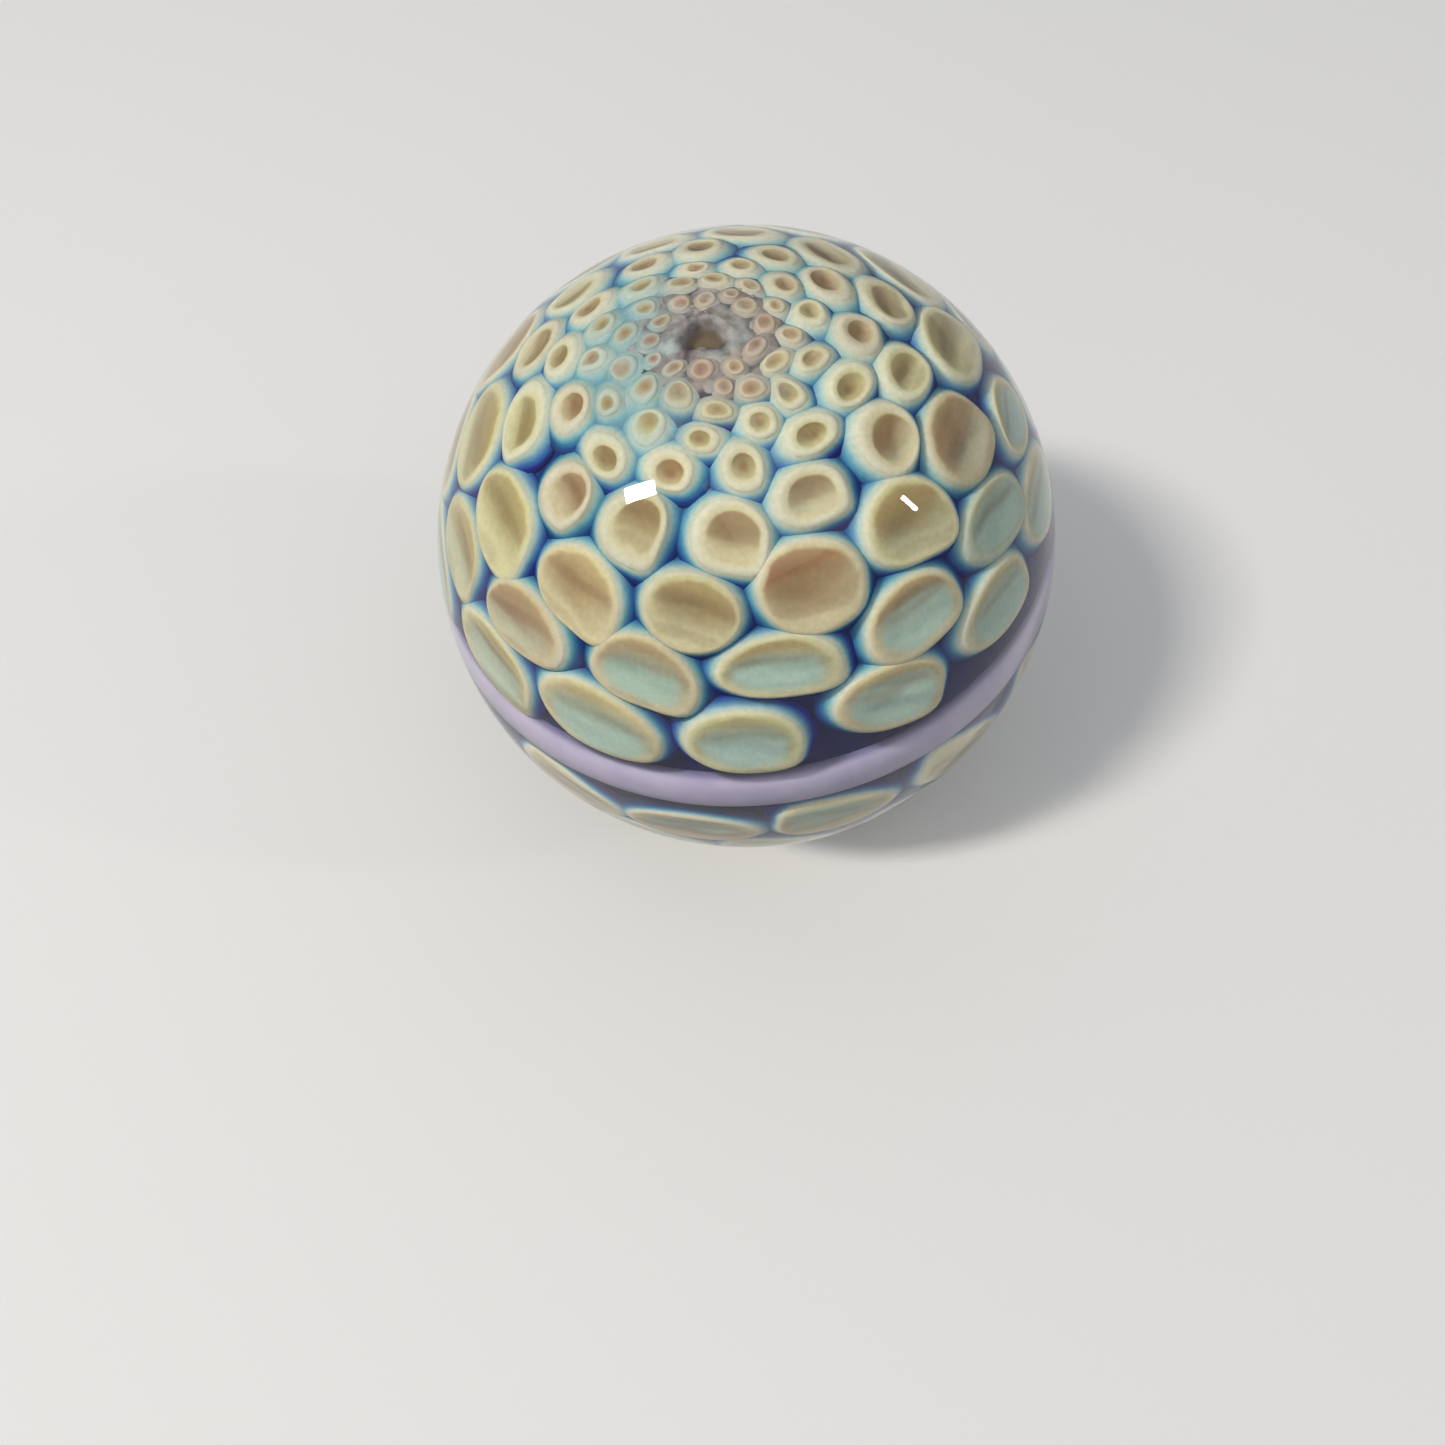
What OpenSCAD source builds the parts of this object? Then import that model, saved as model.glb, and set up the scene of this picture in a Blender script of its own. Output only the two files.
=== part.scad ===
// Lampworked glass marble: a honeycomb of small cups round each pole, a band between, cased in clear glass
// +Z is the axis of the band, and the origin is the centre of the ball

/* [Marble] */
// Outside diameter of the finished ball
marble_d = 45; // [36:0.5:60]
// Clear glass over the lips of the cups
casing_t = 2; // [1:0.1:4]

/* [Band] */
// Width of the round-topped band on the equator
band_w = 2.8; // [1.6:0.1:3.4]
// Bare ground between the band and the nearest cups
band_gap = 0.15; // [0.1:0.05:1]

/* [Honeycomb] */
// Cups in each ring
ring_cells = 13; // [11:1:15]
// Rings of cups on each half
rings = 8; // [4:1:9]
// Depth of a ring, as a share of the spacing of its cups
row_ratio = 0.56; // [0.5:0.01:0.6]
// Rings of cells that are drawn out into ovals, from the band inwards
oval_rings = 2; // [0:1:3]
// Length of an oval cell with its collar, as a share of the spacing of its cups
oval_share = 0.98; // [0.8:0.01:0.99]
// Width of an oval cell with its collar, as a share of its ring's depth
oval_fill = 0.97; // [0.85:0.01:0.98]
// Width of a round cell with its collar, as a share of its ring's depth
round_fill = 1.12; // [0.9:0.01:1.12]
// Turn of each ring against the one outside it, in degrees
ring_twist = 9.8; // [8:0.1:14]
// Azimuth of the first cup next to the band, in degrees
first_cup = 18.3; // [0:0.1:28]

/* [Upper pole] */
// Lean of the upper honeycomb's pole from the band's axis, in degrees
pole_lean = 3.8; // [0:0.1:6]
// Azimuth that it leans to, in degrees
lean_azimuth = 206; // [0:1:359]
// Diameter of the grey veil round the upper pole
veil_d = 11; // [6:0.1:14]
// Diameter of the clear window in the upper pole
window_d = 2.2; // [1:0.1:2.6]
// Depth of the clear window
window_depth = 3; // [1:0.1:5]

/* [Cups] */
// Height of the lips above the cobalt ground
cup_h = 1.5; // [1:0.1:2.5]
// Thickness of the lip on the larger cups
lip_t = 0.62; // [0.3:0.02:0.8]
// Most of a cup's half width that its lip takes up
lip_share = 0.42; // [0.3:0.01:0.5]
// Depth of the bowl below the lip on the larger cups
bowl_depth = 0.95; // [0.7:0.05:1.3]
// Most of a cup's half width that its bowl is deep
bowl_share = 0.7; // [0.5:0.01:0.9]
// Share of the bowl's depth that the amber eye fills
eye_fill = 0.4; // [0.2:0.01:0.6]
// Share of a cell's half width that the blue collar takes up
collar_share = 0.14; // [0.1:0.01:0.3]
// Share of the cup's height that the blue collar climbs
collar_rise = 0.7; // [0.3:0.01:0.75]
// Thickness of the collar's edge
collar_edge = 0.1; // [0.05:0.01:0.2]

/* [Hidden] */
$fn = 72;
fine = 180;

lip_r = marble_d / 2 - casing_t;
ground_r = lip_r - cup_h;
foot_y = ground_r - cup_h;
collar_y = ground_r + cup_h * collar_rise;
band_angle = asin(band_w / 2 / ground_r);
gap_angle = band_gap / ground_r * 180 / PI;
pitch = 360 / ring_cells;
veil_y = sqrt(pow(ground_r, 2) - pow(veil_d / 2, 2));

// The two halves, each with its sign along the axis and the lean of its pole
halves = [[1, pole_lean], [-1, 0]];

// Share of its ring's depth that a cell in ring k takes up
function fill(k) = k < oval_rings ? oval_fill : round_fill;
// Polar angle of the outer edge of ring k, on a half whose pole leans
function ring_edge(k, lean) = k == 0
    ? 90 - band_angle - gap_angle - lean - max(0, fill(0) - 1) / 2 * row_ratio * pitch
    : ring_edge(k - 1, lean) - ring_depth(k - 1, lean);
// Depth of ring k in degrees, in proportion to its girth
function ring_depth(k, lean) = row_ratio * pitch * sin(ring_edge(k, lean));
// Polar angle of the middle of ring k
function ring_angle(k, lean) = ring_edge(k, lean) - ring_depth(k, lean) / 2;
// Half width of a cell in ring k, collar and all
function cell_r(k, lean) = fill(k) / 2 * ring_depth(k, lean) * PI / 180 * ground_r;
// Half length of an oval cell in ring k, along its ring
function cell_l(k, lean) = oval_share * pitch / 2 * sin(ring_angle(k, lean)) * PI / 180 * ground_r;
// How far to either side the two turns that make an oval are set, or 0 for a round cell
function pinch(k, lean) = k < oval_rings
    ? max(0, (pow(cell_l(k, lean), 2) - pow(cell_r(k, lean), 2)) / 2 / cell_r(k, lean))
    : 0;
// Half width of its cup, its lip and its bowl
function cup_r(k, lean) = cell_r(k, lean) * (1 - collar_share);
function lip(r) = min(lip_t, r * lip_share);
function bowl(r) = min(bowl_depth, r * bowl_share);
function floor_r(r) = (r - lip(r)) / 2;
// Heights of the bowl's floor and of the eye in it, and half width of the bowl at a height
function floor_y(r) = lip_r - bowl(r);
function eye_y(r) = floor_y(r) + eye_fill * bowl(r);
function bowl_r(r, y) = floor_r(r) + (y - floor_y(r)) / bowl(r) * (r - lip(r) - floor_r(r));

// Half profile of a cup filled to its lip, moved out by the set of its turns
module cup_profile(r, set) {
    bevel = lip(r) / 2;
    polygon([
        [0, foot_y], [set + r, foot_y], [set + r, lip_r - bevel], [set + r - bevel, lip_r], [0, lip_r]
    ]);
}

// Half profile of a stretch of its bowl between two heights
module bowl_profile(r, set, low, high) {
    polygon([[0, low], [set + bowl_r(r, low), low], [set + bowl_r(r, high), high], [0, high]]);
}

// Half profile of the collar that slopes from a cup's wall to the ground
module collar_profile(r, cell, set) {
    rim_y = sqrt(pow(ground_r, 2) - pow(cell, 2)) + collar_edge;
    polygon([[0, foot_y], [set + cell, foot_y], [set + cell, rim_y], [set + r, collar_y], [0, collar_y]]);
}

// Turns a half profile round its axis, or into an oval that two turns set apart have in common
module turned(set) {
    if (set == 0) rotate_extrude() children();
    else intersection_for (side = [-1, 1]) translate([side * set, 0]) rotate_extrude() children();
}

// Turns the first half profile less the second, seated on the ground
module seated(set) {
    if (set == 0) rotate_extrude() difference() {
        children(0);
        children(1);
        circle(r = ground_r, $fn = fine);
    }
    else difference() {
        turned(set) children(0);
        turned(set) children(1);
        sphere(r = ground_r, $fn = fine);
    }
}

// Repeats a cell at each place in ring k
module ring(k, lean) {
    for (j = [0 : ring_cells - 1])
        rotate([0, ring_angle(k, lean), first_cup + k * ring_twist + j * pitch]) children();
}

// Tips the upper half's own pole, or turns the lower half over
module half_frame(side, lean) {
    rotate([0, 0, lean_azimuth])
        rotate([side < 0 ? 180 : 0, lean, 0])
            rotate([0, 0, -lean_azimuth]) children();
}

// One part of every cell of both halves
module honeycomb(part) {
    for (half = halves, k = [0 : rings - 1]) {
        lean = half[1];
        half_frame(half[0], lean)
            ring(k, lean) cell_part(part, cup_r(k, lean), cell_r(k, lean), pinch(k, lean));
    }
}

// One glass of a cell, or its whole outline down into the ground
module cell_part(part, r, cell, set) {
    if (part == "collar") seated(set) {
        collar_profile(r, cell, set);
        cup_profile(r, set);
    }
    if (part == "cup") seated(set) {
        cup_profile(r, set);
        bowl_profile(r, set, floor_y(r), lip_r + cup_h);
    }
    if (part == "eye") turned(set) bowl_profile(r, set, floor_y(r), eye_y(r));
    if (part == "outline") difference() {
        union() {
            turned(set) collar_profile(r, cell, set);
            turned(set) cup_profile(r, set);
        }
        turned(set) bowl_profile(r, set, eye_y(r), lip_r + cup_h);
    }
}

// The clear window, as a cone that narrows towards the centre
module window() {
    half_frame(1, pole_lean)
        translate([0, 0, ground_r - window_depth])
            cylinder(d1 = 0, d2 = window_d * 2, h = window_depth * 2);
}

// The half space that the veil is cut from
module veil_space() {
    half_frame(1, pole_lean) translate([0, 0, veil_y]) cylinder(d = veil_d * 2, h = veil_d);
}

module clear_casing() {
    color([0.93, 0.96, 0.98, 0.3])
    difference() {
        sphere(d = marble_d, $fn = fine);
        difference() {
            sphere(r = ground_r, $fn = fine);
            window();
        }
        rotate_extrude($fn = fine) translate([ground_r, 0]) circle(d = band_w);
        honeycomb("outline");
    }
}

module cobalt_ground() {
    color([0.03, 0.08, 0.4])
    difference() {
        sphere(r = ground_r, $fn = fine);
        window();
        veil_space();
    }
}

module pole_veil() {
    color([0.58, 0.54, 0.58])
    difference() {
        intersection() {
            sphere(r = ground_r, $fn = fine);
            veil_space();
        }
        window();
    }
}

module equator_band() {
    color([0.6, 0.55, 0.7])
    rotate_extrude($fn = fine) difference() {
        translate([ground_r, 0]) circle(d = band_w);
        circle(r = ground_r, $fn = fine);
    }
}

module sky_collars() {
    color([0.28, 0.6, 0.8]) honeycomb("collar");
}

module cream_cups() {
    color([0.83, 0.8, 0.63]) honeycomb("cup");
}

module amber_eyes() {
    color([0.5, 0.4, 0.22]) honeycomb("eye");
}

clear_casing();
cobalt_ground();
pole_veil();
equator_band();
sky_collars();
cream_cups();
amber_eyes();
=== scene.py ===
import math

import bmesh
import bpy
import numpy as np
from mathutils import Matrix, Quaternion, Vector


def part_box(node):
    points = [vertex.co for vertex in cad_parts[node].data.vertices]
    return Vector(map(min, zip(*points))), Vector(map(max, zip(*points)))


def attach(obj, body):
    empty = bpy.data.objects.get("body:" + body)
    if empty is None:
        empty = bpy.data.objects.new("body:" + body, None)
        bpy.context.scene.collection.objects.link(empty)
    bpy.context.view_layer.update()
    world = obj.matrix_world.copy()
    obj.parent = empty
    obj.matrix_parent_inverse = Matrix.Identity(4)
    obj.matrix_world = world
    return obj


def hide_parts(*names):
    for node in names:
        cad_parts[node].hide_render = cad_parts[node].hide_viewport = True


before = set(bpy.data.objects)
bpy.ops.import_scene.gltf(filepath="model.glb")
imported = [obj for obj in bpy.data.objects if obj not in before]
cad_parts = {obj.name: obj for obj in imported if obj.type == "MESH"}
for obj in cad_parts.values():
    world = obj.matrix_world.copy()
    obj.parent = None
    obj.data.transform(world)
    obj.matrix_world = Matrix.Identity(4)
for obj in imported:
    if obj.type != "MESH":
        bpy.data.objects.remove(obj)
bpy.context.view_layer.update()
dice = np.random.default_rng(45)
mm = 0.001
fullTurn = 2 * math.pi
print("frame loaded:", ", ".join(sorted(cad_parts)))


# radii that everything else is set out from, read off the solids
def nodeReach(node):
    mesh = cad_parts[node].data
    points = np.zeros(len(mesh.vertices) * 3, np.float32)
    mesh.vertices.foreach_get("co", points)
    return float(np.linalg.norm(points.reshape(-1, 3), axis=1).max())


ballR = nodeReach("clear_casing")
lipR = ballR - 1.9 * mm  # clear glass over the lips
groundR = nodeReach("cobalt_ground")
bandReach = nodeReach("equator_band")
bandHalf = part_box("equator_band")[1].z
bandAngle = math.asin(bandHalf / groundR)


def smooth(low, high, value):
    share = np.clip((value - low) / (high - low), 0, 1)
    return share * share * (3 - 2 * share)


def upward(wave):  # from between -1 and 1 to between 0 and 1
    return 0.5 + 0.5 * wave


def around(turns):
    return np.arange(turns) * fullTurn / turns


def unit(rows):
    return rows / np.linalg.norm(rows, axis=1)[:, None]


def tone(red, green, blue):  # a colour as seen on screen, 0 to 255
    parts = [c / 255 for c in (red, green, blue)]
    return [c / 12.92 if c < 0.04045 else ((c + 0.055) / 1.055) ** 2.4 for c in parts] + [1]


def newPiece(name, points, faces, marks=None):
    mesh = bpy.data.meshes.new(name)
    mesh.from_pydata(np.asarray(points).tolist(), [], faces)
    for mark, values in (marks or {}).items():
        layer = mesh.attributes.new(mark, "FLOAT", "POINT")
        layer.data.foreach_set("value", np.asarray(values, np.float32))
    mesh.shade_smooth()
    piece = bpy.data.objects.new(name, mesh)
    bpy.context.scene.collection.objects.link(piece)
    return piece


def settle(piece, material, slot, *nodes):
    piece.data.materials.append(material)
    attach(piece, "root")
    if nodes:
        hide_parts(*nodes)
    print("made", piece.name)


# the honeycomb: rings of oval cells round both poles, the upper one leaning
honeycomb = {
    "cells": 13,  # in each ring
    "firstCup": 18.3,  # azimuth of the first one next to the band, degrees
    "twist": 9.8,  # turn of each ring against the one outside it
    "lean": 3.8,  # of the upper pole
    "leanAzimuth": 206,
    "slant": -11,  # turn of the ovals from the line of their ring
    "tail": -0.75,  # where the drawn-out end of an oval points, radians from its long axis
    "tilt": 2.0,  # and where its collar is widest
    "foamAzimuth": 328,  # where the upper cells hold most sea foam, and most amber, degrees
    "warmAzimuth": 290,
}

# how far single cells stray from that: spreads, and ranges of shares
hand = {
    "wander": 0.8,  # of their places, degrees
    "slant": 6,  # of their slant, degrees
    "most": 1.6,  # spreads at which straying ends
    "offCentre": 0.14,  # share of a cell by which its bowl is off its middle
    "egg": (0.05, 0.03, 0.025),  # first three waves of an outline
    "tail": (0.0, 0.3),
    "tailPoint": 11,  # how narrow a drawn-out end is
    "rim": 0.03,
    "depth": (0.9, 1.08),
    "sunk": (0.5, 1.25),
    "foam": (0.2, 1),
    "foamTrend": 1.1,  # more of it where the upper cells hold most
    "lowerFoam": 0.4,  # share of it in the lower half
    "warm": (0.1, 0.9),
    "warmTrend": 1.2,
    "trend": 6,  # how fast both trends fall off round the ball
    "paintedShade": (0.6, 1),
    "fullSize": 6.5,  # half widths of a cell that counts as large, and of one with a full tail, degrees
    "fullTail": 6,
}

# how the cells differ from ring to ring, from the band inwards
rings = {
    "angle": [74.2, 60.0, 47.2, 34.9, 25.4, 18.7, 13.6, 9.6],  # degrees from the upper pole
    "lower": [76.6, 61.8, 48.2, 36.6, 27.4, 20.3, 15.0, 11.0],  # and from the lower one
    "long": [11.6, 10.4, 9.9, 6.9, 5.2, 3.9, 3.2, 2.5],  # half sizes, degrees
    "wide": [7.2, 6.9, 8.1, 6.3, 4.6, 3.5, 2.9, 2.3],
    "spread": [0.07, 0.08, 0.08, 0.1, 0.11, 0.13, 0.15, 0.2],  # share by which they differ
    "crest": [0.87, 0.87, 0.86, 0.78, 0.7, 0.62, 0.62, 0.62],  # share at which the lip is highest
    "rim": [0.9, 0.9, 0.87, 0.66, 0.54, 0.52, 0.58, 0.6],  # and at which its cream starts and ends
    "lip": [0.97, 0.97, 0.96, 0.93, 0.9, 0.86, 0.84, 0.84],
    "depth": [0.4, 0.45, 0.5, 0.52, 0.4, 0.22, 0.1, 0.07],  # of the bowl, mm
    "sunk": [0, 0, 0, 0, 0.03, 0.1, 0.16, 0.2],  # lip below the highest, mm
    "fall": [1.0, 1.0, 1.0, 0.85, 0.7, 0.6, 0.5, 0.45],  # of the collar's slope, mm
    "halo": [1.1, 1.15, 1.3, 1.7, 2.0, 2.2, 2.2, 2.3],  # degrees that its blue fades over
    "foam": [1, 1, 0.14, 0.1, 0, 0, 0, 0],  # most sea foam in an upper bowl, and most amber
    "warm": [0.2, 0.5, 0.95, 0.6, 0.8, 0.5, 0.2, 0.1],
    # paintedShade: how dark the painted shade on the upper side of a bowl is
    "paintedShade": [0.15, 0.25, 0.5, 0.85, 0.9, 0.6, 0.3, 0.3],  # how dark the upper side of a bowl is
    "turns": [44, 44, 44, 34, 28, 22, 20, 18],  # points round it
}


def halfFrame(side):
    azimuth = math.radians(honeycomb["leanAzimuth"])
    if side < 0:
        return Matrix.Rotation(math.pi, 3, Vector((math.cos(azimuth), math.sin(azimuth), 0)))
    axis = Vector((-math.sin(azimuth), math.cos(azimuth), 0))
    return Matrix.Rotation(math.radians(honeycomb["lean"]), 3, axis)


def polar(turn, angle, azimuth):  # unit direction from a half's own pole
    flat = Vector((math.cos(azimuth), math.sin(azimuth), 0)) * math.sin(angle)
    return turn @ (flat + Vector((0, 0, math.cos(angle))))


def stray():
    return np.clip(dice.normal(size=2), -hand["most"], hand["most"])


def layCells():
    cells = []
    for side in (1, -1):
        turn = halfFrame(side)
        for k in range(len(rings["angle"])):
            form = {name: values[k] for name, values in rings.items()}
            for j in range(honeycomb["cells"]):
                roll = dice.normal(size=2) * math.radians(hand["wander"])
                angle = math.radians(form["angle" if side > 0 else "lower"]) + roll[0]
                step = honeycomb["firstCup"] + honeycomb["twist"] * k + 360 / honeycomb["cells"] * j
                centre = polar(turn, angle, math.radians(step) + roll[1] / math.sin(angle))
                east = polar(turn, 0, 0).cross(centre).normalized()
                slant = math.radians(dice.normal(honeycomb["slant"], hand["slant"]))
                grow = 1 + stray() * form["spread"]
                foam, warm = [
                    max(0, side * math.cos(math.radians(step - honeycomb[most]))) ** hand["trend"]
                    for most in ("foamAzimuth", "warmAzimuth")
                ]
                cell = {
                    "centre": np.array(centre),
                    "along": np.array(Matrix.Rotation(slant, 3, centre) @ east),
                    "long": math.radians(form["long"]) * grow[0],
                    "wide": math.radians(form["wide"]) * grow[1],
                    "rim": form["rim"] * (1 + dice.normal() * hand["rim"]),
                    "depth": form["depth"] * mm * dice.uniform(*hand["depth"]),
                    "sunk": form["sunk"] * mm * dice.uniform(*hand["sunk"]),
                    "fall": form["fall"] * mm,
                    "size": min(1, form["wide"] / hand["fullSize"]),
                    "seed": dice.uniform(),
                    "foam": form["foam"] * (dice.uniform(*hand["foam"]) + hand["foamTrend"] * foam),
                    "warm": form["warm"] * max(dice.uniform(*hand["warm"]), hand["warmTrend"] * warm),
                    "paintedShade": form["paintedShade"] * dice.uniform(*hand["paintedShade"]),
                    "egg": dice.normal(size=3) * hand["egg"],
                    "eggTurn": dice.uniform(0, fullTurn, 3),
                    "tail": dice.uniform(*hand["tail"]) * min(1, form["wide"] / hand["fullTail"]),
                    "ring": k,
                    "side": side,
                }
                if side < 0:
                    cell["foam"] *= hand["lowerFoam"]
                for same in ("crest", "lip", "halo", "turns"):
                    cell[same] = form[same]
                cells.append(cell)
    return cells


# rounds in which cells that overlap push each other apart and shrink a little
packing = {
    "rounds": 40,
    "gap": 0.2,  # least ground between two outlines, degrees
    "gapShare": 0.16,  # or this share of both, where that is less
    "push": 0.22,  # share of an overlap that a round takes up
    "shrink": 0.06,
    "mostShrink": 0.15,  # overlap beyond which they shrink no faster
    "tuck": 0.8,  # degrees that the outermost cells run under the band
    "lift": 0.4,  # shares of any more than that by which a round lifts them, and flattens them
    "flatten": 0.25,
    "mostFlatten": 0.3,
}


def packCells(cells):
    centre = np.array([c["centre"] for c in cells])
    along = np.array([c["along"] for c in cells])
    half = np.array([(c["long"], c["wide"]) for c in cells])
    side = np.array([c["side"] for c in cells])
    gap = math.radians(packing["gap"])
    edge = bandAngle - math.radians(packing["tuck"])
    for _ in range(packing["rounds"]):
        across = np.cross(centre, along)
        apart = np.arccos(np.clip(centre @ centre.T, -1, 1))
        x, y = along @ centre.T, across @ centre.T
        flat = np.hypot(x, y) + 1e-9
        x, y = x / flat, y / flat
        reach = 1 / np.hypot(x / half[:, :1], y / half[:, 1:])
        both = reach + reach.T
        room = apart - both - np.minimum(gap, both * packing["gapShare"])
        np.fill_diagonal(room, 1)
        push = np.clip(-room, 0, None) * packing["push"]
        centre = centre - (push * x).sum(1)[:, None] * along
        centre -= (push * y).sum(1)[:, None] * across
        tight = np.clip((room / both).min(1), -packing["mostShrink"], 0)
        half *= 1 + packing["shrink"] * tight[:, None]
        # cells next to the band keep off it
        pole = np.outer(side, (0, 0, 1))
        north = unit(pole - centre * (centre * pole).sum(1)[:, None])
        down = np.hypot(half[:, 0] * (along * north).sum(1), half[:, 1] * (across * north).sum(1))
        above = np.arcsin(np.clip(centre[:, 2] * side / np.linalg.norm(centre, axis=1), -1, 1))
        short = np.clip(edge - (above - down), 0, None)
        centre += north * (short * packing["lift"])[:, None]
        half[:, 1] *= 1 - packing["flatten"] * np.clip(short / half[:, 1], 0, packing["mostFlatten"])
        centre = unit(centre)
        along = unit(along - centre * (along * centre).sum(1)[:, None])
    for cell, c, a, (long, wide) in zip(cells, centre, along, half):
        mid = math.degrees(math.sqrt(long * wide))
        cell.update(centre=c, along=a, across=np.cross(c, a), long=long, wide=wide, mid=mid)
        cell["collar"] = 1 + section["collar"] / mid
        cell["lean"] = stray() * hand["offCentre"]
    return cells


def outline(cell, turn):  # how far the hand-drawn outline strays from its oval
    waves = [cell["egg"][n] * np.cos((n + 1) * turn + cell["eggTurn"][n]) for n in range(3)]
    tail = cell["tail"] * np.exp(hand["tailPoint"] * (np.cos(turn - honeycomb["tail"]) - 1))
    return 1 + sum(waves) + tail


def onBall(cell, share, turn):  # directions of points at a share of the outline
    inside = np.clip(1 - share**2, 0, None)
    x = cell["long"] * (share * outline(cell, turn) * np.cos(turn) + inside * cell["lean"][0])
    y = cell["wide"] * (share * outline(cell, turn) * np.sin(turn) + inside * cell["lean"][1])
    away = np.hypot(x, y) + 1e-12
    bent = np.sin(away) / away
    flat = (x * bent)[..., None] * cell["along"] + (y * bent)[..., None] * cell["across"]
    return flat + np.cos(away)[..., None] * cell["centre"]


# the section of a cell: bowl, crowned lip, outer wall and the collar's slope
section = {
    "flat": 0.05,  # share of the bowl that is floor
    "pleat": 0.07,  # height of the folds in the larger bowls, mm
    "folds": 7.5,  # turns of the folds across a bowl, along it, and from cell to cell, radians
    "foldsAlong": 1.5,
    "foldShift": 7,
    "foldEnd": (0.45, 0.95),  # shares of the bowl between which they run out
    "lipWave": 0.1,  # fall of the lip's lower places, mm
    "crown": 0.2,  # fall from the crest to the edge of the lip, mm
    "cream": 0.3,  # step of the colours across the lip
    "lopsided": 0.45,  # how much wider the blue is on one side
    "sink": 0.25,  # depth of the foot in the ground, mm
    "eye": 0.6,  # share of the bowl that the eye covers
    "eyeRise": 0.05,  # crown of the eye, mm
    "eyeLap": 0.002,  # mm by which it lies over the bowl
    "eyePleats": 3,  # heights of a fold that it reaches below the bowl
    "collar": 2.2,  # degrees from an outline to the edge of its collar
    "collarLap": 0.004,  # mm by which the collar lies over the lip
    "collarCurve": 1.3,
    "dip": 0.65,  # fall of the cells that run under the band, mm
    "dipEnd": 0.08,  # radians from the band at which it starts
}


def height(cell, share, turn):
    crest, lip = cell["crest"], cell["lip"]
    wave = upward(np.cos(2 * turn + cell["eggTurn"][1]))
    top = lipR - cell["sunk"] - section["lipWave"] * mm * cell["size"] * wave
    inside = smooth(section["flat"], 1, share / crest)
    fold = section["folds"] * share * np.sin(turn) + section["foldsAlong"] * share * np.cos(turn)
    fold = np.sin(fold + section["foldShift"] * cell["seed"])
    fold = fold * section["pleat"] * mm * cell["size"] * (1 - smooth(*section["foldEnd"], share / crest))
    bowl = top - cell["depth"] * (1 - inside) + fold
    crown = section["crown"] * mm * np.clip((share - crest) / (lip - crest), 0, 1) ** 2
    wall = (lipR - groundR + section["sink"] * mm) * smooth(lip, 1, share)
    return np.where(share <= crest, bowl, np.minimum(top - crown, top - wall))


def inward(cell, share, turn):  # 1 in the middle, below 0 across the cream, and less out over the collar
    rim, lip = cell["rim"], cell["lip"]
    cream = section["cream"] * np.clip((share - rim) / (lip - rim), 0, 1)
    halo = cell["halo"] * (1 + section["lopsided"] * np.cos(turn - honeycomb["tilt"]))
    out = cream + np.clip(share - lip, 0, None) * cell["mid"] / halo
    return np.where(share < rim, 1 - share / rim, -out)


cellMarks = ("seed", "size", "foam", "warm", "paintedShade")  # the same all over a cell


class CellGlass:  # gathers one glass of every cell into one mesh
    def __init__(self):
        self.points, self.faces, self.count, self.sharp = [], [], 0, []
        self.marks = {name: [] for name in ("inward", "across", *cellMarks)}

    def addPoints(self, cell, share, turn, radius):
        share, turn, radius = np.broadcast_arrays(share, turn, radius)
        ways = onBall(cell, share, turn)
        above = np.arcsin(np.abs(ways[..., 2])) - bandAngle
        radius = radius - section["dip"] * mm * (1 - smooth(0, section["dipEnd"], above))
        self.points.append((ways * radius[..., None]).reshape(-1, 3))
        self.marks["inward"].append(inward(cell, share, turn).ravel())
        self.marks["across"].append((share * np.sin(turn)).ravel())
        for mark in cellMarks:
            self.marks[mark].append(np.full(share.size, cell[mark]))
        first, self.count = self.count, self.count + share.size
        return first

    def addLoft(self, cell, shares, radii, edge, bottom=None):
        turns = cell["turns"]
        turn = around(turns)
        first = self.addPoints(cell, shares[:, None], turn[None], radii(shares[:, None], turn[None]))
        steps = len(shares)
        self.sharp += range(first + edge * turns, first + (edge + 1) * turns)
        for i in range(steps if bottom is None else steps - 1):
            here, there = first + i * turns, first + (i + 1) % steps * turns
            for j in range(turns):
                k = (j + 1) % turns
                self.faces.append((here + j, there + j, there + k, here + k))
        if bottom is None:
            return
        middle = np.zeros(1)
        top = self.addPoints(cell, middle, middle, radii(middle, middle))
        base = self.addPoints(cell, middle, middle, np.full(1, bottom))
        last = first + (steps - 1) * turns
        for j in range(turns):
            k = (j + 1) % turns
            self.faces.append((top, first + j, first + k))
            self.faces.append((base, last + k, last + j))

    def piece(self, name):
        marks = {mark: np.concatenate(values) for mark, values in self.marks.items()}
        piece = newPiece(name, np.concatenate(self.points), self.faces, marks)
        hard = np.zeros(self.count, bool)
        hard[self.sharp] = True
        ends = np.zeros(len(piece.data.edges) * 2, np.int32)
        piece.data.edges.foreach_get("vertices", ends)
        layer = piece.data.attributes.new("sharp_edge", "BOOLEAN", "EDGE")
        layer.data.foreach_set("value", hard[ends.reshape(-1, 2)].all(1))
        return piece


# shares at which the rings of points lie, across each stretch of the section
bowlSteps = np.array([0.2, 0.4, 0.52, section["eye"], 0.68, 0.77, 0.85, 0.93, 1])
lipSteps = np.array([0.35, 0.7, 1])
wallSteps = np.array([0.5, 1])
slopeSteps = np.array([0, 0.12, 0.26, 0.42, 0.6, 0.8, 1])


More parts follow.
